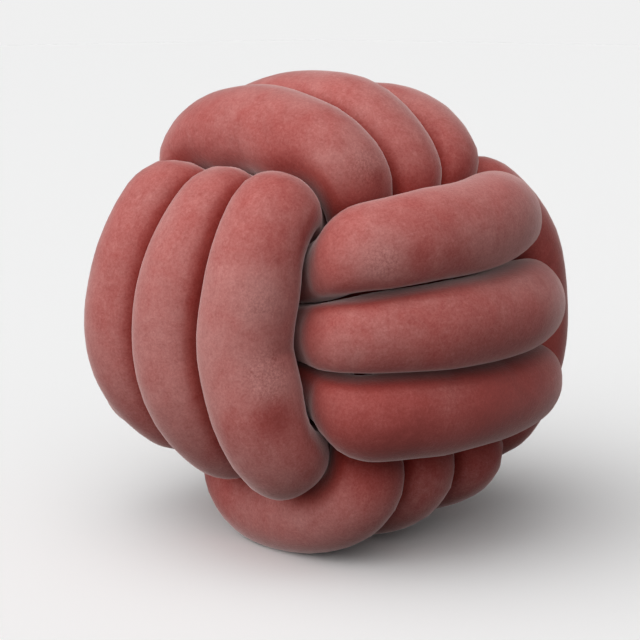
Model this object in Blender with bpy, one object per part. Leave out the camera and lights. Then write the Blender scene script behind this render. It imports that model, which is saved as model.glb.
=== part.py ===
"""Round knotted cushion: one long stuffed velvet tube tied into a three-turn ball knot.

The ball sits on the flattened strands of its underside, with Z up and the floor at zero.
The tube runs in three sets of three turns. Each set is long along one axis, short along
the next and stacked along the third, so every face of the ball shows three parallel
strands that dive under the strands of the faces beside them.
"""
import bpy
import bmesh
import numpy as np

CUSHION_NAME = "knot_cushion"
TUBE_NAME = "knot_tube"
MM = 0.001

# Tube sizes in metres. The tube is plump outside and pressed thin inside the ball.
TUBE_RADIUS = 0.0285
INNER_RADIUS = 0.021
SKIN_GAP = 0.0008

# Distance between neighbouring strands of a set, on the faces and inside the ball.
FACE_PITCH = 0.051
INNER_PITCH = 0.033

# Distance of a strand's middle from the ball's centre, for the first, middle and last turn.
STRAND_REACH = (0.114, 0.121, 0.114)

# Where a strand leaves its face: distance out from the centre, and along the strand.
SHOULDER_OUT = 0.087
SHOULDER_SPAN = 0.073
SHOULDER_TUCK = 0.2

# The rounded part between the middle of a strand and its shoulder.
QUARTER_RISE = 0.8
QUARTER_SPAN = 0.56

# The passes through the ball that join one face strand to the next.
PASS_HALF = 0.045
PASS_DEPTH = 0.066
PASS_WAIST = 0.060

# Depth of the flat underside below the ball's centre.
FLOOR_DROP = 0.1365

# How firmly each part keeps its round section where two parts press on each other.
FIRM_MIDDLE = 0.030
FIRM_SHOULDER = 0.024
FIRM_INSIDE = 0.017

# Hold of the middle and the shoulder of a strand while the turns settle against each other.
HOLD_MIDDLE = 1.0
HOLD_SHOULDER = 0.7
SETTLE_ROUNDS = 30
SETTLE_CLEARANCE = 0.93
SETTLE_SMOOTH = 0.3
SETTLE_PUSH = 0.67
SETTLE_PULL = 0.5

# Ring counts: the settled line, the line that measures the sections, and the mesh.
CURVE_STEPS = 10
SETTLE_POINTS = 600
RINGS = 428
FINE_FACTOR = 2
SIDES = 14
SECTION_POWER = 14.0

# Bulges of the section shorter than twice this along the tube are cut off.
RIDGE_REACH = 0.015

# Parts nearer than this many tube radii along the tube count as its own bend.
NEIGHBOUR_REACH = 2.4

# Smallest length that a division may meet.
TINY = 1e-6

VELVET_COLOUR = (0.48, 0.17, 0.155, 1.0)
VELVET_ROUGHNESS = 0.9

AXES = np.eye(3)

# Strands that differ from the plain layout, sizes in millimetres.
# Columns: turn set, side of the ball, turn, then reach, shift across the face, lean, bow,
# then how far the low and the high shoulder move out and along.
STRAND_COLUMNS = ("reach", "shift", "lean", "bow", "low_out", "low_span", "high_out", "high_span")
STRAND_TABLE = (
    (0, 1, 1, 0, 10, 8, 0, 0, 0, -4, -22),
    (0, 1, 0, 0, 10, 0, 0, 0, 0, 2, 2),
    (0, 1, -1, 0, 13, -1, 0, 0, 0, 3, 2),
    (0, -1, 1, 0, 0, 0, 0, -6, -16, 0, 0),
    (1, -1, 1, 0, 4, -4, 11, -6, -7, -3, 1),
    (1, -1, 0, 0, 6, 2, 6, 0, -12, 0, 0),
    (1, -1, -1, 2, 7, 4, 8, -2, -22, -5, 5),
    (1, 1, 1, 18, 2, -6, 0, 4, 0, -3, -5),
    (2, 1, -1, -1, -3, -2, 0, 0, -13, 0, -13),
    (2, 1, 0, 0, -2, 0, 0, 12, 3, 0, -12),
    (2, 1, 1, -3, -1, 0, 0, 0, 0, 0, -24),
    (2, -1, -1, -3, 3, -8, 0, -20, -40, -4, 0),
    (2, -1, 0, -10, -1, 0, 0, 0, 0, 0, 0),
    (2, -1, 1, -10, -7, 0, 0, 0, 0, -10, 5),
)

# Link from the last turn of a set to the first turn of the next, deep in the ball.
# Columns: along the set's long axis, its short axis and its stacking axis, millimetres.
LINK_TABLE = (
    (12, 40, 22),
    (-16, 2, 22),
    (-34, -36, 56),
)


def strand_changes():
    """Named changes of each listed strand, in metres."""
    changes = {}
    for row in STRAND_TABLE:
        values = [value * MM for value in row[3:]]
        changes[row[:3]] = dict(zip(STRAND_COLUMNS, values))
    return changes


def in_set(turn_set, out, along, across):
    """Point given by a turn set's long, short and stacking axes."""
    long_axis = AXES[turn_set]
    short_axis = AXES[(turn_set + 1) % 3]
    stack_axis = AXES[(turn_set + 2) % 3]
    return out * long_axis + along * short_axis + across * stack_axis


def face_strand(turn_set, side, turn, change):
    """Five points of one strand over a face, in the order the tube runs."""
    middle_out = STRAND_REACH[turn + 1] + change["reach"]
    place = FACE_PITCH * turn + change["shift"]
    tucked = (1.0 - SHOULDER_TUCK) * place + SHOULDER_TUCK * INNER_PITCH * turn
    rows = []
    for step in (-1.0, -0.5, 0.0, 0.5, 1.0):
        heading = step * side
        end = "high" if heading > 0 else "low"
        out = SHOULDER_OUT + change[end + "_out"]
        span = SHOULDER_SPAN + change[end + "_span"]
        across = place
        hold, firm = HOLD_MIDDLE, FIRM_MIDDLE
        if step == 0.0:
            out, along = middle_out, 0.0
        elif abs(step) < 1.0:
            out += QUARTER_RISE * (middle_out - out)
            along = QUARTER_SPAN * span * np.sign(heading)
        else:
            along = span * np.sign(heading)
            across = tucked
            hold, firm = HOLD_SHOULDER, FIRM_SHOULDER
        across += change["lean"] * along / SHOULDER_SPAN
        across += change["bow"] * (abs(step) - 0.5)
        point = in_set(turn_set, side * out, along, across)
        rows.append((*point, hold, TUBE_RADIUS, firm))
    return rows


def inner_row(point):
    """Row of a point inside the ball, free to settle and pressed thin."""
    return (*point, 0.0, INNER_RADIUS, FIRM_INSIDE)


def low_pass(turn_set, turn):
    """Pass under the low side of a set, straight through."""
    across = INNER_PITCH * turn
    rows = []
    for step, depth in ((-1, PASS_DEPTH), (0, PASS_WAIST), (1, PASS_DEPTH)):
        rows.append(inner_row(in_set(turn_set, step * PASS_HALF, -depth, across)))
    return rows


def high_pass(turn_set, turn):
    """Pass back under the high side, moving over by one turn."""
    here = INNER_PITCH * turn
    there = INNER_PITCH * (turn + 1)
    rows = []
    for step, depth, across in (
        (1, PASS_DEPTH, here),
        (0, PASS_WAIST, 0.5 * (here + there)),
        (-1, PASS_DEPTH, there),
    ):
        rows.append(inner_row(in_set(turn_set, step * PASS_HALF, depth, across)))
    return rows


def link_pass(turn_set):
    """Link through the middle of the ball to the next set of turns."""
    rows = [inner_row(in_set(turn_set, PASS_HALF, PASS_DEPTH, INNER_PITCH))]
    for out, along, across in LINK_TABLE:
        rows.append(inner_row(in_set(turn_set, out * MM, along * MM, across * MM)))
    return rows


def knot_rows():
    """All control rows of the closed knot: x, y, z, hold, radius and firmness."""
    changes = strand_changes()
    plain = dict.fromkeys(STRAND_COLUMNS, 0.0)
    rows = []
    for turn_set in range(3):
        for turn in (-1, 0, 1):
            low = changes.get((turn_set, -1, turn), plain)
            high = changes.get((turn_set, 1, turn), plain)
            rows += face_strand(turn_set, -1, turn, low)
            rows += low_pass(turn_set, turn)
            rows += face_strand(turn_set, 1, turn, high)
            rows += high_pass(turn_set, turn) if turn < 1 else link_pass(turn_set)
    return np.array(rows)


def curve_span(before, start, end, after):
    """Points of one smooth span, knots spaced by the root of the distance."""
    knots = [0.0]
    for first, second in ((before, start), (start, end), (end, after)):
        knots.append(knots[-1] + np.sqrt(np.linalg.norm(second - first)))
    at = np.linspace(knots[1], knots[2], CURVE_STEPS, endpoint=False)[:, None]

    def between(low, high, from_point, to_point):
        share = (at - knots[low]) / (knots[high] - knots[low])
        return from_point + share * (to_point - from_point)

    first = between(0, 1, before, start)
    second = between(1, 2, start, end)
    third = between(2, 3, end, after)
    lower = between(0, 2, first, second)
    upper = between(1, 3, second, third)
    return between(1, 2, lower, upper)


def smooth_loop(rows):
    """Smooth closed line through the control rows, its other columns carried evenly."""
    count = len(rows)
    points = rows[:, :3]
    spans = []
    for index in range(count):
        corners = [points[(index + step) % count] for step in (-1, 0, 1, 2)]
        spans.append(curve_span(*corners))
    at = np.arange(count * CURVE_STEPS) / CURVE_STEPS
    shut = np.vstack([rows, rows[:1]])
    carried = [np.interp(at, np.arange(count + 1), shut[:, column]) for column in (3, 4, 5)]
    return np.column_stack([np.concatenate(spans)] + carried)


def even_loop(loop, count):
    """The same closed line with evenly spaced points."""
    shut = np.vstack([loop, loop[:1]])
    steps = np.linalg.norm(np.diff(shut[:, :3], axis=0), axis=1)
    run = np.concatenate([[0.0], np.cumsum(steps)])
    at = np.linspace(0.0, run[-1], count, endpoint=False)
    columns = [np.interp(at, run, shut[:, column]) for column in range(shut.shape[1])]
    return np.column_stack(columns)


def loop_step(line):
    """Mean distance between neighbouring points of a closed line."""
    return np.linalg.norm(np.roll(line, -1, 0) - line, axis=1).mean()


def steps_apart(count):
    """Steps along the closed line between every two of its points."""
    index = np.arange(count)
    apart = np.abs(index[:, None] - index[None])
    return np.minimum(apart, count - apart)


def settle_loop(loop):
    """Turns pushed apart where they crowd, kept smooth and near their places."""
    line, hold, radii = loop[:, :3], loop[:, 3:4], loop[:, 4]
    home = line.copy()
    far = NEIGHBOUR_REACH * TUBE_RADIUS / loop_step(line)
    distant = steps_apart(len(line)) > far
    wanted = SETTLE_CLEARANCE * (radii[:, None] + radii[None])
    for _ in range(SETTLE_ROUNDS):
        middle = 0.5 * (np.roll(line, 1, 0) + np.roll(line, -1, 0))
        wider = 0.5 * (np.roll(line, 2, 0) + np.roll(line, -2, 0))
        line = line + SETTLE_SMOOTH * ((4.0 * middle - wider) / 3.0 - line)
        offset = line[:, None] - line[None]
        distance = np.linalg.norm(offset, axis=2) + TINY
        lack = np.where(distant, np.maximum(wanted - distance, 0.0), 0.0)
        touching = np.maximum((lack > 0.0).sum(1), 1)
        push = (offset * (lack / distance)[..., None]).sum(1)
        line = line + SETTLE_PUSH * push / touching[:, None]
        line = line + SETTLE_PULL * hold * (home - line)
    return np.column_stack([line, loop[:, 3:]])


def tangents(line):
    """Unit directions along a closed line."""
    along = np.roll(line, -1, 0) - np.roll(line, 1, 0)
    return along / np.linalg.norm(along, axis=1, keepdims=True)


def reflected(vector, normal):
    """Vector mirrored across the plane with this normal."""
    return vector - 2.0 * (normal @ vector) / max(normal @ normal, TINY ** 2) * normal


def carried_normals(line, along):
    """Normals carried along the line without twist, the closing twist spread evenly."""
    count = len(line)
    start = line[0] - (line[0] @ along[0]) * along[0]
    normals = [start / np.linalg.norm(start)]
    for here in range(count):
        there = (here + 1) % count
        step = line[there] - line[here]
        normal = reflected(normals[-1], step)
        bend = along[there] - reflected(along[here], step)
        normals.append(reflected(normal, bend))
    last = normals.pop()
    normals = np.array(normals)
    across = np.cross(along, normals)
    twist = np.arctan2(last @ across[0], last @ normals[0])
    turn = -twist * np.arange(count)[:, None] / count
    return normals * np.cos(turn) + across * np.sin(turn)


def ring_directions(line):
    """Unit directions from each ring's centre to its corners."""
    along = tangents(line)
    normals = carried_normals(line, along)
    across = np.cross(along, normals)
    angles = 2.0 * np.pi * np.arange(SIDES) / SIDES
    cosines, sines = np.cos(angles)[None, :, None], np.sin(angles)[None, :, None]
    return normals[:, None] * cosines + across[:, None] * sines


def room_around(line, directions, firm):
    """Distance from each ring's centre to the pressed face it shares with other parts."""
    count = len(line)
    apart = steps_apart(count)
    near = NEIGHBOUR_REACH * TUBE_RADIUS / loop_step(line)
    room = np.empty(directions.shape[:2])
    for index in range(count):
        others = np.arange(count) != index
        offset = line[others] - line[index]
        share = np.clip(2.0 * (apart[index, others] / near - 1.0), 0.0, 1.0)
        square = (offset ** 2).sum(1) + share * (firm[index] ** 2 - firm[others] ** 2)
        facing = np.maximum(directions[index] @ offset.T, TINY)
        room[index] = (np.maximum(square, TINY) / (2.0 * facing)).min(1)
    return room - SKIN_GAP


def without_ridges(grid, reach):
    """Section sizes with short bulges along the tube cut off, nowhere larger than before."""
    lowest = grid
    for shift in range(-reach, reach + 1):
        lowest = np.minimum(lowest, np.roll(grid, shift, 0))
    opened = lowest
    for shift in range(-reach, reach + 1):
        opened = np.maximum(opened, np.roll(lowest, shift, 0))
    return opened


def eased_down(grid):
    """Section sizes evened out, never growing beyond any neighbour's size."""
    lowest = grid.copy()
    total = np.zeros_like(grid)
    shifts = [(along, around) for along in (-1, 0, 1) for around in (-1, 0, 1)]
    for shift in shifts:
        lowest = np.minimum(lowest, np.roll(grid, shift, (0, 1)))
    for shift in shifts:
        total += np.roll(lowest, shift, (0, 1))
    return total / len(shifts)


def section_sizes(room):
    """Smooth lesser of the free radius and the room, for each corner of each ring."""
    crowding = TUBE_RADIUS ** -SECTION_POWER + room ** -SECTION_POWER
    return crowding ** (-1.0 / SECTION_POWER)


def tube_rings():
    """Corner points of the tube's rings, standing on the floor and centred."""
    loop = settle_loop(even_loop(smooth_loop(knot_rows()), SETTLE_POINTS))
    fine = even_loop(loop, RINGS * FINE_FACTOR)
    line = fine[:, :3]
    directions = ring_directions(line)
    room = room_around(line, directions, fine[:, 5])
    reach = round(RIDGE_REACH / loop_step(line))
    sizes = eased_down(without_ridges(section_sizes(room), reach))
    rings = line[:, None] + sizes[..., None] * directions
    rings = rings[::FINE_FACTOR]
    rings[..., 2] = np.maximum(rings[..., 2] + FLOOR_DROP, 0.0)
    corners = rings.reshape(-1, 3)
    middle = 0.5 * (corners.min(0) + corners.max(0))
    rings[..., :2] -= middle[:2]
    return rings


def loft_rings(rings):
    """Closed mesh of one face between each two corners of each two rings."""
    count, sides = rings.shape[:2]
    mesh = bmesh.new()
    corners = [[mesh.verts.new(point) for point in ring] for ring in rings]
    for index in range(count):
        here, there = corners[index], corners[(index + 1) % count]
        for side in range(sides):
            after = (side + 1) % sides
            face = mesh.faces.new((here[side], here[after], there[after], there[side]))
            face.smooth = True
    bmesh.ops.recalc_face_normals(mesh, faces=mesh.faces)
    return mesh


def velvet_material():
    """Dusty rose velvet."""
    material = bpy.data.materials.new("velvet")
    material.use_nodes = True
    shader = material.node_tree.nodes["Principled BSDF"]
    shader.inputs["Base Color"].default_value = VELVET_COLOUR
    shader.inputs["Roughness"].default_value = VELVET_ROUGHNESS
    shader.inputs["Metallic"].default_value = 0.0
    return material


def build_tube(collection):
    """The stuffed tube, one closed body."""
    mesh = bpy.data.meshes.new(TUBE_NAME)
    shape = loft_rings(tube_rings())
    shape.to_mesh(mesh)
    shape.free()
    mesh.materials.append(velvet_material())
    tube = bpy.data.objects.new(TUBE_NAME, mesh)
    collection.objects.link(tube)
    return tube


def build_cushion():
    """Empty scene, then the cushion in its own collection."""
    for leftover in list(bpy.data.objects):
        bpy.data.objects.remove(leftover, do_unlink=True)
    collection = bpy.data.collections.new(CUSHION_NAME)
    bpy.context.scene.collection.children.link(collection)
    build_tube(collection)


build_cushion()
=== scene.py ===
"""Round knotted velvet cushion, its fine surface and velvet laid over its solid.

One long stuffed velvet tube is tied into a three-turn ball knot and rests on the
flattened strands of its underside. The tube is laid again here with the measures of the
solid, on a mesh fine enough for soft lumps and crisp creases, and gets its velvet.
All sizes are in metres, Z is up and the floor is at zero.
"""

import math

import bpy
import numpy as np
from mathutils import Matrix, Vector


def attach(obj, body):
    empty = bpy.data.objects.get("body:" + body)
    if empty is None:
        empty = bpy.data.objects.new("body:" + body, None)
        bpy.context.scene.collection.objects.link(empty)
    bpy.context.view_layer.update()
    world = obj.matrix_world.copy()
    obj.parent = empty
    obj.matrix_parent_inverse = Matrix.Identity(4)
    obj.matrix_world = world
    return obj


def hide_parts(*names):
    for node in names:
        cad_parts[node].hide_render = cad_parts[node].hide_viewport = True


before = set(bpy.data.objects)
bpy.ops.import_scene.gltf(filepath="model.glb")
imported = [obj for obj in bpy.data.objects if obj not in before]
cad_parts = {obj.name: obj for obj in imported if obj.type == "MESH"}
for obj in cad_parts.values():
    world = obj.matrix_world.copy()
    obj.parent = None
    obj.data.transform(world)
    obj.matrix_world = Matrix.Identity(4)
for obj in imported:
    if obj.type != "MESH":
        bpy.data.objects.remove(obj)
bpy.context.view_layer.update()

CAD_NODE = "knot_tube"
BODY = "root"
PIECE_NAME = "velvet_tube"
MM = 0.001

# Tube sizes. The tube is plump outside and pressed thin inside the ball.
TUBE_RADIUS = 0.0285
INNER_RADIUS = 0.021
SKIN_GAP = 0.0003

# Distance between neighbouring strands of a set, on the faces and inside the ball.
FACE_PITCH = 0.051
INNER_PITCH = 0.033

# Distance of a strand's middle from the ball's centre, for the first, middle and last turn.
STRAND_REACH = (0.114, 0.121, 0.114)

# Where a strand leaves its face: distance out from the centre, along the strand, and how
# far it has drawn in by then towards the spacing inside the ball.
SHOULDER_OUT = 0.087
SHOULDER_SPAN = 0.073
SHOULDER_TUCK = 0.2

# The rounded part between the middle of a strand and its shoulder.
QUARTER_RISE = 0.8
QUARTER_SPAN = 0.56

# The passes through the ball that join one face strand to the next.
PASS_HALF = 0.045
PASS_DEPTH = 0.066
PASS_WAIST = 0.060

# Depth of the flat underside below the ball's centre.
FLOOR_DROP = 0.1365

# How firmly each part keeps its round section where two parts press on each other.
FIRM_MIDDLE = 0.030
FIRM_SHOULDER = 0.024
FIRM_INSIDE = 0.017

# Hold of the middle and the shoulder of a strand while the turns settle against each other.
HOLD_MIDDLE = 1.0
HOLD_SHOULDER = 0.7
SETTLE_ROUNDS = 30
SETTLE_CLEARANCE = 0.93
SETTLE_SMOOTH = 0.3
SETTLE_PUSH = 0.67
SETTLE_PULL = 0.5

# Counts: points between two control rows, points of the settled line, rings of the mesh
# and corners of a ring.
CURVE_STEPS = 10
SETTLE_POINTS = 600
RINGS = 1800
SIDES = 48

# The higher this power, the sharper the edge between a round and a pressed side.
SECTION_POWER = 14.0

# Columns of a point of the line, after its place.
HOLD, RADIUS, FIRMNESS = 3, 4, 5

# Bulges shorter than twice this are cut off, and the sections are smoothed this often.
RIDGE_REACH = 0.015
SMOOTH_ROUNDS = 3

# Soft lumps of the filling: depth as a share of the radius, waves along and around the tube.
LUMP_SEED = 7
LUMP_DEPTH = 0.035
LUMP_WAVES = 60
LUMPS_ALONG = (40, 230)
LUMPS_AROUND = 3

# Parts nearer than this many tube radii along the tube count as its own bend.
NEIGHBOUR_REACH = 2.4

# Smallest length that a division may meet.
TINY = 1e-6

AXES = np.eye(3)

# Strands that differ from the plain layout, sizes in millimetres.
# Columns: turn set, side of the ball, turn, then reach, shift across the face, lean, bow,
# then how far the low and the high shoulder move out and along.
STRAND_COLUMNS = ("reach", "shift", "lean", "bow", "low_out", "low_span", "high_out", "high_span")
STRAND_TABLE = (
    (0, 1, 1, 0, 10, 8, 0, 0, 0, -4, -22),
    (0, 1, 0, 0, 10, 0, 0, 0, 0, 2, 2),
    (0, 1, -1, 0, 13, -1, 0, 0, 0, 3, 2),
    (0, -1, 1, 0, 0, 0, 0, -6, -16, 0, 0),
    (1, -1, 1, 0, 4, -4, 11, -6, -7, -3, 1),
    (1, -1, 0, 0, 6, 2, 6, 0, -12, 0, 0),
    (1, -1, -1, 2, 7, 4, 8, -2, -22, -5, 5),
    (1, 1, 1, 18, 2, -6, 0, 4, 0, -3, -5),
    (2, 1, -1, -1, -3, -2, 0, 0, -13, 0, -13),
    (2, 1, 0, 0, -2, 0, 0, 12, 3, 0, -12),
    (2, 1, 1, -3, -1, 0, 0, 0, 0, 0, -24),
    (2, -1, -1, -3, 3, -8, 0, -20, -40, -4, 0),
    (2, -1, 0, -10, -1, 0, 0, 0, 0, 0, 0),
    (2, -1, 1, -10, -7, 0, 0, 0, 0, -10, 5),
)

# Link from the last turn of a set to the first turn of the next, deep in the ball.
# Columns: along the set's long axis, its short axis and its stacking axis, millimetres.
LINK_TABLE = (
    (12, 40, 22),
    (-16, 2, 22),
    (-34, -36, 56),
)

# Places where the pile is brushed pale or pressed dark, from the ball's centre. Some pale places
# are painted sheen on the strands that face the light, and some dark places are painted shade
# where a strand lies in the shadow of its neighbour.
# Columns: x, y, z and radius in millimetres, then how pale and how dark.
PATCH_RADIUS, PATCH_PALE_AND_SHEEN, PATCH_DARK_AND_SHADE = 3, 4, 5
PATCH_TABLE = (
    (20, -150, 10, 160, 0.75, 0.0),
    (-70, -120, 0, 110, 0.90, 0.0),
    (74, -126, 30, 50, 0.90, 0.0),
    (80, -124, -10, 45, 1.05, 0.0),
    (60, -110, -90, 80, 0.85, 0.0),
    (6, -146, 25, 60, 0.75, 0.0),
    (84, -122, -34, 20, 0.0, 1.0),
    (84, -118, 54, 9, 0.0, 0.8),
    (30, -20, 150, 110, 0.40, 0.0),
    (82, -54, 100, 46, 0.95, 0.0),
    (58, -10, 128, 55, 0.70, 0.0),
    (90, -46, 92, 10, 0.0, 0.9),
    (74, -62, 110, 9, 0.0, 0.8),
    (45, -78, 118, 26, 0.0, 0.4),
    (127, -83, 52, 38, 1.05, 0.0),
    (134, -62, 55, 12, 0.0, 0.5),
    (137, -36, 53, 16, 0.0, 0.4),
    (127, -70, 10, 40, 0.40, 0.0),
    (138, 10, -37, 75, 0.0, 0.9),
    (75, 140, 5, 80, 0.0, 1.0),
    (120, -72, -52, 65, 0.0, 1.1),
    (138, -15, 60, 75, 0.55, 0.0),
    (40, 50, 118, 60, 0.55, 0.0),
    (-75, -95, -60, 60, 0.85, 0.0),
    (50, -115, 62, 45, 0.65, 0.0),
)

# Velvet tones, pile laid down and brushed up, the pale one's share in plain places, and
# how far brushed and pressed places pull away from that share; these places are partly
# painted sheen and painted shade.
DEEP_VELVET = (0.425, 0.080, 0.070)
PALE_VELVET = (0.525, 0.218, 0.200)
PALE_SHARE = 0.30
PALE_PULL = 0.55
DARK_PULL = 0.45

# Painted shade in the creases between strands, darker and redder where little light gets in:
# the room beside the tube, in tube radii, where that starts and where it is full, and what
# it leaves of each colour.
CREASE_SHADE_START = 1.38
CREASE_SHADE_FULL = 0.98
CREASE_SHADE_ROUNDS = 6
CREASE_SHADE_TINT = (0.72, 0.32, 0.28)

# Noises of the velvet: waves a metre, detail, roughness and distortion. The streaks take
# their waves a metre, along the tube and across it, from their own scale.
NOISES = {
    "broad": (15.0, 3.0, 0.55, 0.4),
    "wander": (45.0, 4.0, 0.62, 0.7),
    "mottle": (95.0, 3.0, 0.6, 0.5),
    "clump": (300.0, 2.0, 0.6, 0.8),
    "fine": (760.0, 2.0, 0.7, 0.6),
    "streak": (1.0, 3.0, 0.6, 0.3),
}
STREAK_SCALE = (55.0, 420.0, 420.0)

# How far the noises swing the tone and the brightness, and their shares of the bump.
TONE_SWINGS = {
    "broad": 1.0, "wander": 0.8, "mottle": 0.35, "clump": 0.35, "streak": 0.18, "fine": 0.9,
}
SHADE_SWINGS = {"fine": 0.6, "clump": 0.18, "streak": 0.09, "mottle": 0.2}
HEIGHT_SHARES = {"fine": 0.55, "clump": 0.35, "streak": 0.15}
PILE_STRENGTH = 0.5
PILE_DEPTH = 0.0006

# Marked places: how uneven and how dark the pressed ones are, how ruffled the brushed ones.
# The darkening of the pressed places is partly painted shade.
# Each range holds what is read, from and to, and what it becomes where that isn't 0 to 1.
MOTTLE_IN_MARKS = 0.4
MARK_RANGE = (0.45, 0.85, 0.45, 1.5)
MARK_SHADE = 0.16
RUFFLE_RANGE = (0.7, 1.0)
RUFFLE_LEAST = 0.65
TONE_RANGE = (-0.15, 1.15)
ROUGHNESS_RANGE = (0.0, 1.0, 0.95, 0.85)

# Gloss of the velvet, and the rosy sheen along its rims.
VELVET_GLOSS = 0.15
SHEEN_WEIGHT = 0.9
SHEEN_ROUGHNESS = 0.38
SHEEN_TINT = (1.0, 0.76, 0.74)

# Camera: turn and rise in degrees, distance, and the ball's size and place in the picture.
CAMERA_TURN = 45.0
CAMERA_RISE = 10.0
CAMERA_DISTANCE = 1.08
SENSOR_WIDTH = 36.0
PICTURE_SIDE = 640
PIXELS_PER_METRE = 43.0 / 0.027
BALL_PIXEL = (326.0, 311.0)

# Lights. Sides are the turn from the camera and the rise above the floor, in degrees, and
# so are the spreads.
DOME_SIDE = (-45.0, 40.0)
DOME_HIGH = 2.25
DOME_LOW = 0.03
DOME_FOCUS = 1.6
REAR_SIDE = (165.0, 30.0)
REAR_POWER = 0.18
REAR_SPREAD = 60.0
EDGE_SIDE = (115.0, 8.0)
EDGE_POWER = 0.3
EDGE_SPREAD = 50.0

# Half the floor's width, how pale the stage looks, how little light the floor gives back,
# and the floor's matt surface.
FLOOR_HALF = 12.0
BACKDROP_SHADE = 0.868
FLOOR_SHADE = 0.97
FLOOR_RETURN = 0.09
FLOOR_ROUGHNESS = 0.9
FLOOR_GLOSS = 0.1


def strand_changes():
    """Named changes of each listed strand, in metres."""
    changes = {}
    for row in STRAND_TABLE:
        values = [value * MM for value in row[3:]]
        changes[row[:3]] = dict(zip(STRAND_COLUMNS, values))
    return changes


def in_set(turn_set, out, along, across):
    """Point given by a turn set's long, short and stacking axes."""
    long_axis = AXES[turn_set]
    short_axis = AXES[(turn_set + 1) % 3]
    stack_axis = AXES[(turn_set + 2) % 3]
    return out * long_axis + along * short_axis + across * stack_axis


def face_strand(turn_set, side, turn, change):
    """Five points of one strand over a face, in the order the tube runs."""
    middle_out = STRAND_REACH[turn + 1] + change["reach"]
    place = FACE_PITCH * turn + change["shift"]
    tucked = (1.0 - SHOULDER_TUCK) * place + SHOULDER_TUCK * INNER_PITCH * turn
    rows = []
    for step in (-1.0, -0.5, 0.0, 0.5, 1.0):
        heading = step * side
        end = "high" if heading > 0 else "low"
        out = SHOULDER_OUT + change[end + "_out"]
        span = SHOULDER_SPAN + change[end + "_span"]
        across = place
        hold, firm = HOLD_MIDDLE, FIRM_MIDDLE
        if step == 0.0:
            out, along = middle_out, 0.0
        elif abs(step) < 1.0:
            out += QUARTER_RISE * (middle_out - out)
            along = QUARTER_SPAN * span * np.sign(heading)
        else:
            along = span * np.sign(heading)
            across = tucked
            hold, firm = HOLD_SHOULDER, FIRM_SHOULDER
        across += change["lean"] * along / SHOULDER_SPAN
        across += change["bow"] * (abs(step) - 0.5)
        point = in_set(turn_set, side * out, along, across)
        rows.append((*point, hold, TUBE_RADIUS, firm))
    return rows


def inner_row(point):
    """Row of a point inside the ball, free to settle and pressed thin."""
    return (*point, 0.0, INNER_RADIUS, FIRM_INSIDE)


def low_pass(turn_set, turn):
    """Pass under the low side of a set, straight through."""
    across = INNER_PITCH * turn
    rows = []
    for step, depth in ((-1, PASS_DEPTH), (0, PASS_WAIST), (1, PASS_DEPTH)):
        rows.append(inner_row(in_set(turn_set, step * PASS_HALF, -depth, across)))
    return rows


def high_pass(turn_set, turn):
    """Pass back under the high side, moving over by one turn."""
    here = INNER_PITCH * turn
    there = INNER_PITCH * (turn + 1)
    rows = []
    for step, depth, across in (
        (1, PASS_DEPTH, here),
        (0, PASS_WAIST, 0.5 * (here + there)),
        (-1, PASS_DEPTH, there),
    ):
        rows.append(inner_row(in_set(turn_set, step * PASS_HALF, depth, across)))
    return rows


def link_pass(turn_set):
    """Link through the middle of the ball to the next set of turns."""
    rows = [inner_row(in_set(turn_set, PASS_HALF, PASS_DEPTH, INNER_PITCH))]
    for out, along, across in LINK_TABLE:
        rows.append(inner_row(in_set(turn_set, out * MM, along * MM, across * MM)))
    return rows


def knot_rows():
    """All control rows of the closed knot: x, y, z, hold, radius and firmness."""
    changes = strand_changes()
    plain = dict.fromkeys(STRAND_COLUMNS, 0.0)
    rows = []
    for turn_set in range(3):
        for turn in (-1, 0, 1):
            low = changes.get((turn_set, -1, turn), plain)
            high = changes.get((turn_set, 1, turn), plain)
            rows += face_strand(turn_set, -1, turn, low)
            rows += low_pass(turn_set, turn)
            rows += face_strand(turn_set, 1, turn, high)
            rows += high_pass(turn_set, turn) if turn < 1 else link_pass(turn_set)
    return np.array(rows)


def curve_span(before, start, end, after):
    """Points of one smooth span, knots spaced by the root of the distance."""
    knots = [0.0]
    for first, second in ((before, start), (start, end), (end, after)):
        knots.append(knots[-1] + np.sqrt(np.linalg.norm(second - first)))
    at = np.linspace(knots[1], knots[2], CURVE_STEPS, endpoint=False)[:, None]

    def between(low, high, from_point, to_point):
        share = (at - knots[low]) / (knots[high] - knots[low])
        return from_point + share * (to_point - from_point)

    first = between(0, 1, before, start)
    second = between(1, 2, start, end)
    third = between(2, 3, end, after)
    lower = between(0, 2, first, second)
    upper = between(1, 3, second, third)
    return between(1, 2, lower, upper)


def smooth_loop(rows):
    """Smooth closed line through the control rows, its other columns carried evenly."""
    count = len(rows)
    points = rows[:, :3]
    spans = []
    for index in range(count):
        corners = [points[(index + step) % count] for step in (-1, 0, 1, 2)]
        spans.append(curve_span(*corners))
    at = np.arange(count * CURVE_STEPS) / CURVE_STEPS
    shut = np.vstack([rows, rows[:1]])
    carried = []
    for column in (HOLD, RADIUS, FIRMNESS):
        carried.append(np.interp(at, np.arange(count + 1), shut[:, column]))
    return np.column_stack([np.concatenate(spans)] + carried)


def even_loop(loop, count):
    """The same closed line with evenly spaced points."""
    shut = np.vstack([loop, loop[:1]])
    steps = np.linalg.norm(np.diff(shut[:, :3], axis=0), axis=1)
    run = np.concatenate([[0.0], np.cumsum(steps)])
    at = np.linspace(0.0, run[-1], count, endpoint=False)
    columns = [np.interp(at, run, shut[:, column]) for column in range(shut.shape[1])]
    return np.column_stack(columns)


def loop_step(line):
    """Mean distance between neighbouring points of a closed line."""
    return np.linalg.norm(np.roll(line, -1, 0) - line, axis=1).mean()


def steps_apart(count):
    """Steps along the closed line between every two of its points."""
    index = np.arange(count)
    apart = np.abs(index[:, None] - index[None])
    return np.minimum(apart, count - apart)


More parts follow.
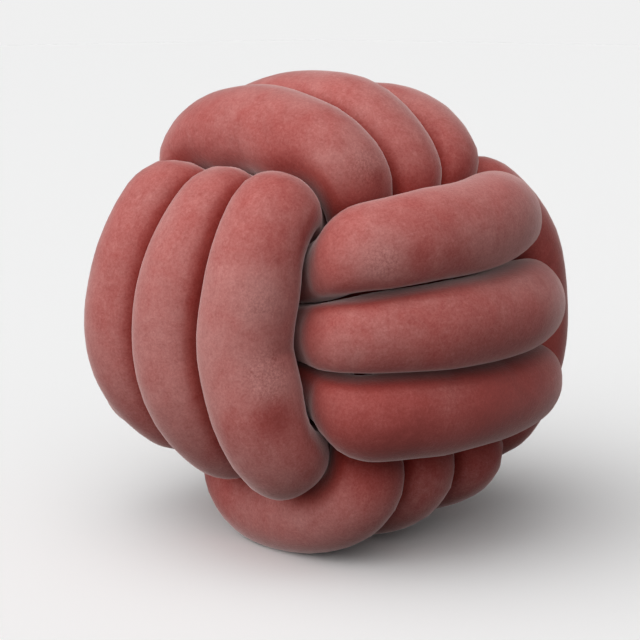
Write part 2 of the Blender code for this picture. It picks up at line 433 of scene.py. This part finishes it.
def settle_loop(loop):
    """Turns pushed apart where they crowd, kept smooth and near their places."""
    line, hold, radii = loop[:, :3], loop[:, HOLD, None], loop[:, RADIUS]
    home = line.copy()
    far = NEIGHBOUR_REACH * TUBE_RADIUS / loop_step(line)
    distant = steps_apart(len(line)) > far
    wanted = SETTLE_CLEARANCE * (radii[:, None] + radii[None])
    for _ in range(SETTLE_ROUNDS):
        middle = 0.5 * (np.roll(line, 1, 0) + np.roll(line, -1, 0))
        wider = 0.5 * (np.roll(line, 2, 0) + np.roll(line, -2, 0))
        line = line + SETTLE_SMOOTH * ((4.0 * middle - wider) / 3.0 - line)
        offset = line[:, None] - line[None]
        distance = np.linalg.norm(offset, axis=2) + TINY
        lack = np.where(distant, np.maximum(wanted - distance, 0.0), 0.0)
        touching = np.maximum((lack > 0.0).sum(1), 1)
        push = (offset * (lack / distance)[..., None]).sum(1)
        line = line + SETTLE_PUSH * push / touching[:, None]
        line = line + SETTLE_PULL * hold * (home - line)
    return np.column_stack([line, loop[:, 3:]])


def tangents(line):
    """Unit directions along a closed line."""
    along = np.roll(line, -1, 0) - np.roll(line, 1, 0)
    return along / np.linalg.norm(along, axis=1, keepdims=True)


def reflected(vector, normal):
    """Vector mirrored across the plane with this normal."""
    return vector - 2.0 * (normal @ vector) / max(normal @ normal, TINY ** 2) * normal


def carried_normals(line, along):
    """Normals carried along the line without twist, the closing twist spread evenly."""
    count = len(line)
    start = line[0] - (line[0] @ along[0]) * along[0]
    normals = [start / np.linalg.norm(start)]
    for here in range(count):
        there = (here + 1) % count
        step = line[there] - line[here]
        normal = reflected(normals[-1], step)
        bend = along[there] - reflected(along[here], step)
        normals.append(reflected(normal, bend))
    last = normals.pop()
    normals = np.array(normals)
    across = np.cross(along, normals)
    twist = np.arctan2(last @ across[0], last @ normals[0])
    turn = -twist * np.arange(count)[:, None] / count
    return normals * np.cos(turn) + across * np.sin(turn)


def ring_directions(line):
    """Unit directions from each ring's centre to its corners."""
    along = tangents(line)
    normals = carried_normals(line, along)
    across = np.cross(along, normals)
    angles = 2.0 * np.pi * np.arange(SIDES) / SIDES
    cosines, sines = np.cos(angles)[None, :, None], np.sin(angles)[None, :, None]
    return normals[:, None] * cosines + across[:, None] * sines


def room_around(line, directions, firm):
    """Distance from each ring's centre to the pressed face it shares with other parts."""
    count = len(line)
    apart = steps_apart(count)
    near = NEIGHBOUR_REACH * TUBE_RADIUS / loop_step(line)
    room = np.empty(directions.shape[:2])
    for index in range(count):
        others = np.arange(count) != index
        offset = line[others] - line[index]
        share = np.clip(2.0 * (apart[index, others] / near - 1.0), 0.0, 1.0)
        square = (offset ** 2).sum(1) + share * (firm[index] ** 2 - firm[others] ** 2)
        facing = np.maximum(directions[index] @ offset.T, TINY)
        room[index] = (np.maximum(square, TINY) / (2.0 * facing)).min(1)
    return room - SKIN_GAP


def without_ridges(grid, reach):
    """Section sizes with short bulges along the tube cut off, nowhere larger than before."""
    lowest = grid
    for shift in range(-reach, reach + 1):
        lowest = np.minimum(lowest, np.roll(grid, shift, 0))
    opened = lowest
    for shift in range(-reach, reach + 1):
        opened = np.maximum(opened, np.roll(lowest, shift, 0))
    return opened


def smoothed_along(grid, rounds):
    """Section sizes averaged with their neighbours along the tube."""
    for _ in range(rounds):
        grid = 0.25 * np.roll(grid, 1, 0) + 0.5 * grid + 0.25 * np.roll(grid, -1, 0)
    return grid


def eased_down(grid):
    """Section sizes evened out, never growing beyond any neighbour's size."""
    lowest = grid.copy()
    total = np.zeros_like(grid)
    shifts = [(along, around) for along in (-1, 0, 1) for around in (-1, 0, 1)]
    for shift in shifts:
        lowest = np.minimum(lowest, np.roll(grid, shift, (0, 1)))
    for shift in shifts:
        total += np.roll(lowest, shift, (0, 1))
    return total / len(shifts)


def free_radii():
    """Free radius at each corner of each ring, with the soft lumps of the filling."""
    random = np.random.default_rng(LUMP_SEED)
    along = 2.0 * np.pi * np.arange(RINGS)[:, None] / RINGS
    around = 2.0 * np.pi * np.arange(SIDES)[None] / SIDES
    total = np.zeros((RINGS, SIDES))
    for _ in range(LUMP_WAVES):
        repeats = random.integers(*LUMPS_ALONG)
        turns = random.integers(-LUMPS_AROUND, LUMPS_AROUND + 1)
        phase = random.uniform(0.0, 2.0 * np.pi)
        total += np.cos(repeats * along + turns * around + phase) / repeats
    return TUBE_RADIUS * (1.0 + 0.5 * LUMP_DEPTH * total / np.abs(total).max())


def section_sizes(room):
    """Smooth lesser of the free radius and the room, for each corner of each ring."""
    crowding = free_radii() ** -SECTION_POWER + room ** -SECTION_POWER
    return crowding ** (-1.0 / SECTION_POWER)


def crease_shade_shares(room):
    """Share of painted shade in the creases at each corner, by its room to the next part of the tube.
    """
    share = (CREASE_SHADE_START - room / TUBE_RADIUS) / (CREASE_SHADE_START - CREASE_SHADE_FULL)
    share = np.clip(share, 0.0, 1.0)
    return smoothed_along(share * share * (3.0 - 2.0 * share), CREASE_SHADE_ROUNDS)


def tube_rings():
    """Corner points of the tube's rings on the floor, the ball's centre and the painted shade in the
    creases.
    """
    loop = settle_loop(even_loop(smooth_loop(knot_rows()), SETTLE_POINTS))
    fine = even_loop(loop, RINGS)
    line = fine[:, :3]
    directions = ring_directions(line)
    room = room_around(line, directions, fine[:, FIRMNESS])
    reach = round(RIDGE_REACH / loop_step(line))
    sizes = eased_down(without_ridges(section_sizes(room), reach))
    sizes = smoothed_along(sizes, SMOOTH_ROUNDS)
    rings = line[:, None] + sizes[..., None] * directions
    rings[..., 2] = np.maximum(rings[..., 2] + FLOOR_DROP, 0.0)
    corners = rings.reshape(-1, 3)
    middle = 0.5 * (corners.min(0) + corners.max(0))
    rings[..., :2] -= middle[:2]
    centre = np.array([-middle[0], -middle[1], FLOOR_DROP])
    return rings, centre, crease_shade_shares(room)


def ring_faces(count, sides):
    """Corner numbers of one face between each two corners of each two rings."""
    here = np.arange(count)[:, None] * sides
    there = np.roll(here, -1, 0)
    side = np.arange(sides)[None]
    after = np.roll(side, -1, 1)
    faces = np.stack([here + side, here + after, there + after, there + side], axis=-1)
    return faces.reshape(-1, 4)


def patch_shares(points, column):
    """How strongly each point lies in the listed patches, by that column of the table."""
    shares = np.zeros(len(points))
    for row in PATCH_TABLE:
        distance = np.linalg.norm(points - np.array(row[:3]) * MM, axis=1)
        near = np.clip(1.0 - distance / (row[PATCH_RADIUS] * MM), 0.0, 1.0)
        shares = np.maximum(shares, row[column] * near * near * (3.0 - 2.0 * near))
    return shares


def mark_share(mesh, name, shares):
    """Point attribute that holds a share from none to full."""
    attribute = mesh.attributes.new(name, "FLOAT", "POINT")
    attribute.data.foreach_set("value", shares.ravel().astype(np.float32))


def mark_pile_and_painted_light(mesh, points, crease_shades):
    """Point attributes for brushed and pressed pile, partly painted sheen and painted shade, and for
    the painted shade in the creases.
    """
    mark_share(mesh, "brushed_and_sheen", patch_shares(points, PATCH_PALE_AND_SHEEN))
    mark_share(mesh, "pressed_and_shade", patch_shares(points, PATCH_DARK_AND_SHADE))
    mark_share(mesh, "crease_shade", crease_shades)


def mark_run(mesh, rings, centre):
    """Point attribute with the place along and around the tube, counted from deep inside."""
    middles = rings.mean(1)
    first = np.linalg.norm(middles - centre, axis=1).argmin()
    run = (np.arange(RINGS) - first) % RINGS * loop_step(middles)
    angles = 2.0 * np.pi * np.arange(SIDES) / SIDES
    place = np.empty((RINGS, SIDES, 3), np.float32)
    place[..., 0] = run[:, None]
    place[..., 1] = TUBE_RADIUS * np.cos(angles)
    place[..., 2] = TUBE_RADIUS * np.sin(angles)
    attribute = mesh.attributes.new("run", "FLOAT_VECTOR", "POINT")
    attribute.data.foreach_set("vector", place.ravel())


def build_tube(rings):
    """The velvet tube as one smooth closed mesh."""
    count, sides = rings.shape[:2]
    mesh = bpy.data.meshes.new(PIECE_NAME)
    faces = ring_faces(count, sides)
    mesh.from_pydata(rings.reshape(-1, 3).tolist(), [], faces.tolist())
    mesh.polygons.foreach_set("use_smooth", np.ones(len(faces), bool))
    mesh.validate()
    mesh.update()
    tube = bpy.data.objects.new(PIECE_NAME, mesh)
    bpy.context.scene.collection.objects.link(tube)
    return tube


class Nodes:
    """Short calls that add linked shader nodes to a tree."""

    def __init__(self, tree):
        self.tree = tree

    def feed(self, socket, value):
        """Link an output into a socket, or set the socket's own value."""
        if isinstance(value, bpy.types.NodeSocket):
            self.tree.links.new(value, socket)
        else:
            socket.default_value = value

    def add(self, kind, settings=(), **inputs):
        """New node. An input is named by its words, or by the letter i and its number."""
        node = self.tree.nodes.new(kind)
        for name, value in dict(settings).items():
            setattr(node, name, value)
        for name, value in inputs.items():
            numbered = name[0] == "i" and name[1:].isdigit()
            key = int(name[1:]) if numbered else name.replace("_", " ")
            self.feed(node.inputs[key], value)
        return node

    def attribute(self, name, output):
        """Value that the mesh carries under this name."""
        return self.add("ShaderNodeAttribute", {"attribute_name": name}).outputs[output]

    def math(self, operation, first, second):
        """Result of one step of arithmetic."""
        return self.add("ShaderNodeMath", {"operation": operation}, i0=first, i1=second).outputs[0]

    def plus(self, first, second):
        """Sum of two values."""
        return self.math("ADD", first, second)

    def times(self, first, second):
        """Product of two values."""
        return self.math("MULTIPLY", first, second)

    def swing(self, source, amount):
        """How far a noise is from its middle, times an amount."""
        return self.times(self.plus(source, -0.5), amount)

    def eased(self, value, low, high, out_low=0.0, out_high=1.0):
        """Value carried smoothly from one range to another."""
        node = self.add("ShaderNodeMapRange", {"interpolation_type": "SMOOTHSTEP"},
                        i0=value, i1=low, i2=high, i3=out_low, i4=out_high)
        return node.outputs[0]

    def mixed(self, share, first, second):
        """Colour between two colours."""
        node = self.add("ShaderNodeMix", {"data_type": "RGBA"}, i0=share,
                        i6=(*first, 1.0), i7=(*second, 1.0))
        return node.outputs[2]

    def vector(self, operation, first, second):
        """Node of one step of arithmetic on two vectors."""
        return self.add("ShaderNodeVectorMath", {"operation": operation}, i0=first, i1=second)

    def noise(self, place, scale, detail, roughness, distortion):
        """Soft noise of this many waves a metre."""
        node = self.add("ShaderNodeTexNoise", Vector=place, Scale=scale, Detail=detail,
                        Roughness=roughness, Distortion=distortion)
        return node.outputs["Fac"]


def velvet_noises(nodes):
    """The velvet's noises by name. The streaks follow the tube, the others the whole ball."""
    ball_place = nodes.add("ShaderNodeTexCoord").outputs["Object"]
    tube_place = nodes.vector("MULTIPLY", nodes.attribute("run", "Vector"), STREAK_SCALE).outputs[0]
    noises = {}
    for name, settings in NOISES.items():
        place = tube_place if name == "streak" else ball_place
        noises[name] = nodes.noise(place, *settings)
    return noises


def velvet_swings(nodes, noises, amounts, ruffled, total):
    """Total of some noises' swings, the finest one stronger where the pile is ruffled."""
    for name, amount in amounts.items():
        swing = nodes.swing(noises[name], amount)
        if name == "fine":
            swing = nodes.times(swing, ruffled)
        total = nodes.plus(total, swing)
    return total


def velvet_material():
    """Dusty rose velvet: brushed and pressed patches, partly painted sheen and painted shade, painted
    shade in the creases, fine flecks and a rosy sheen.
    """
    material = bpy.data.materials.new("velvet")
    material.use_nodes = True
    shader = material.node_tree.nodes["Principled BSDF"]
    nodes = Nodes(material.node_tree)
    noises = velvet_noises(nodes)

    # Brushed places are partly painted sheen, pressed places partly painted shade.
    lifted_and_sheen = nodes.attribute("brushed_and_sheen", "Fac")
    uneven = nodes.plus(noises["wander"], nodes.times(noises["mottle"], MOTTLE_IN_MARKS))
    laid_and_shade = nodes.times(nodes.attribute("pressed_and_shade", "Fac"), nodes.eased(uneven, *MARK_RANGE))
    ruffled = nodes.plus(nodes.eased(lifted_and_sheen, *RUFFLE_RANGE), RUFFLE_LEAST)

    tone = nodes.plus(nodes.times(lifted_and_sheen, PALE_PULL), PALE_SHARE)
    tone = nodes.plus(tone, nodes.times(laid_and_shade, -DARK_PULL))
    tone = velvet_swings(nodes, noises, TONE_SWINGS, ruffled, tone)
    tone = nodes.eased(tone, *TONE_RANGE)
    shade = nodes.plus(nodes.times(laid_and_shade, -MARK_SHADE), 1.0)
    shade = velvet_swings(nodes, noises, SHADE_SWINGS, ruffled, shade)
    scaled = nodes.add("ShaderNodeVectorMath", {"operation": "SCALE"},
                       i0=nodes.mixed(tone, DEEP_VELVET, PALE_VELVET), Scale=shade)
    # Painted shade: the colour goes darker and redder in the creases between strands.
    shade_in_creases = nodes.mixed(nodes.attribute("crease_shade", "Fac"), (1.0, 1.0, 1.0), CREASE_SHADE_TINT)
    colour = nodes.vector("MULTIPLY", scaled.outputs[0], shade_in_creases)
    nodes.feed(shader.inputs["Base Color"], colour.outputs[0])

    height = 0.0
    for name, amount in HEIGHT_SHARES.items():
        height = nodes.plus(height, nodes.times(noises[name], amount))
    bump = nodes.add("ShaderNodeBump", Strength=PILE_STRENGTH, Distance=PILE_DEPTH, Height=height)
    nodes.feed(shader.inputs["Normal"], bump.outputs["Normal"])
    nodes.feed(shader.inputs["Roughness"], nodes.eased(tone, *ROUGHNESS_RANGE))
    shader.inputs["Specular IOR Level"].default_value = VELVET_GLOSS
    shader.inputs["Sheen Weight"].default_value = SHEEN_WEIGHT
    shader.inputs["Sheen Roughness"].default_value = SHEEN_ROUGHNESS
    shader.inputs["Sheen Tint"].default_value = (*SHEEN_TINT, 1.0)
    return material


def toward(turn, rise):
    """Direction from the ball, in degrees: turn from the camera's side, rise above the floor."""
    around, above = math.radians(CAMERA_TURN + turn), math.radians(rise)
    level = math.cos(above)
    return Vector((math.sin(around) * level, -math.cos(around) * level, math.sin(above)))


def add_camera(centre):
    """Camera at the picture's angle, its shift set by the ball's place in the picture."""
    back = toward(0.0, CAMERA_RISE)
    data = bpy.data.cameras.new("camera")
    data.sensor_width = SENSOR_WIDTH
    data.lens = SENSOR_WIDTH * PIXELS_PER_METRE * CAMERA_DISTANCE / PICTURE_SIDE
    data.shift_x = (0.5 * PICTURE_SIDE - BALL_PIXEL[0]) / PICTURE_SIDE
    data.shift_y = (BALL_PIXEL[1] - 0.5 * PICTURE_SIDE) / PICTURE_SIDE
    camera = bpy.data.objects.new("camera", data)
    camera.location = centre + back * CAMERA_DISTANCE
    camera.rotation_euler = (-back).to_track_quat("-Z", "Y").to_euler()
    bpy.context.scene.collection.objects.link(camera)
    bpy.context.scene.camera = camera


def add_soft_sun(name, turn, rise, power, spread):
    """Wide soft light, its angles in degrees: turn from the camera's side, rise above the floor."""
    data = bpy.data.lights.new(name, "SUN")
    data.energy = power
    data.angle = math.radians(spread)
    light = bpy.data.objects.new(name, data)
    away = toward(turn, rise)
    light.location = away
    light.rotation_euler = away.to_track_quat("Z", "Y").to_euler()
    bpy.context.scene.collection.objects.link(light)


def floor_material():
    """Pale matt floor that gives little light back to the underside of the cushion."""
    material = bpy.data.materials.new("floor")
    material.use_nodes = True
    shader = material.node_tree.nodes["Principled BSDF"]
    nodes = Nodes(material.node_tree)
    seen = nodes.add("ShaderNodeLightPath").outputs["Is Camera Ray"]
    shade = nodes.mixed(seen, (FLOOR_RETURN,) * 3, (FLOOR_SHADE,) * 3)
    nodes.feed(shader.inputs["Base Color"], shade)
    shader.inputs["Roughness"].default_value = FLOOR_ROUGHNESS
    shader.inputs["Specular IOR Level"].default_value = FLOOR_GLOSS
    return material


def add_floor():
    """Wide pale floor under the cushion."""
    mesh = bpy.data.meshes.new("floor")
    corners = [(x * FLOOR_HALF, y * FLOOR_HALF, 0.0) for x, y in ((-1, -1), (1, -1), (1, 1), (-1, 1))]
    mesh.from_pydata(corners, [], [(0, 1, 2, 3)])
    mesh.materials.append(floor_material())
    floor = bpy.data.objects.new("floor", mesh)
    bpy.context.scene.collection.objects.link(floor)


def add_sky():
    """Wide soft light from the upper left of the camera, and a pale backdrop."""
    world = bpy.data.worlds.new("studio")
    world.use_nodes = True
    tree = world.node_tree
    tree.nodes.clear()
    nodes = Nodes(tree)
    heading = nodes.add("ShaderNodeTexCoord").outputs["Generated"]
    facing = nodes.vector("DOT_PRODUCT", heading, toward(*DOME_SIDE)).outputs["Value"]
    narrow = nodes.math("POWER", nodes.math("MAXIMUM", facing, 0.0), DOME_FOCUS)
    glow = nodes.add("ShaderNodeMapRange", i0=narrow, i3=DOME_LOW, i4=DOME_HIGH).outputs[0]
    seen = nodes.add("ShaderNodeLightPath").outputs["Is Camera Ray"]
    strength = nodes.add("ShaderNodeMix", i0=seen, i2=glow, i3=BACKDROP_SHADE).outputs[0]
    shine = nodes.add("ShaderNodeBackground", Color=(1.0, 1.0, 1.0, 1.0), Strength=strength)
    nodes.add("ShaderNodeOutputWorld", Surface=shine.outputs[0])
    bpy.context.scene.world = world


rings, ball_centre, crease_shades = tube_rings()
tube = build_tube(rings)
mark_pile_and_painted_light(tube.data, rings.reshape(-1, 3) - ball_centre, crease_shades)
mark_run(tube.data, rings, ball_centre)
tube.data.materials.append(velvet_material())
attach(tube, BODY)
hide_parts(CAD_NODE)

add_floor()
add_sky()
add_soft_sun("rear", *REAR_SIDE, REAR_POWER, REAR_SPREAD)
add_soft_sun("edge", *EDGE_SIDE, EDGE_POWER, EDGE_SPREAD)
add_camera(Vector(ball_centre))
bpy.context.scene.view_settings.view_transform = "Standard"
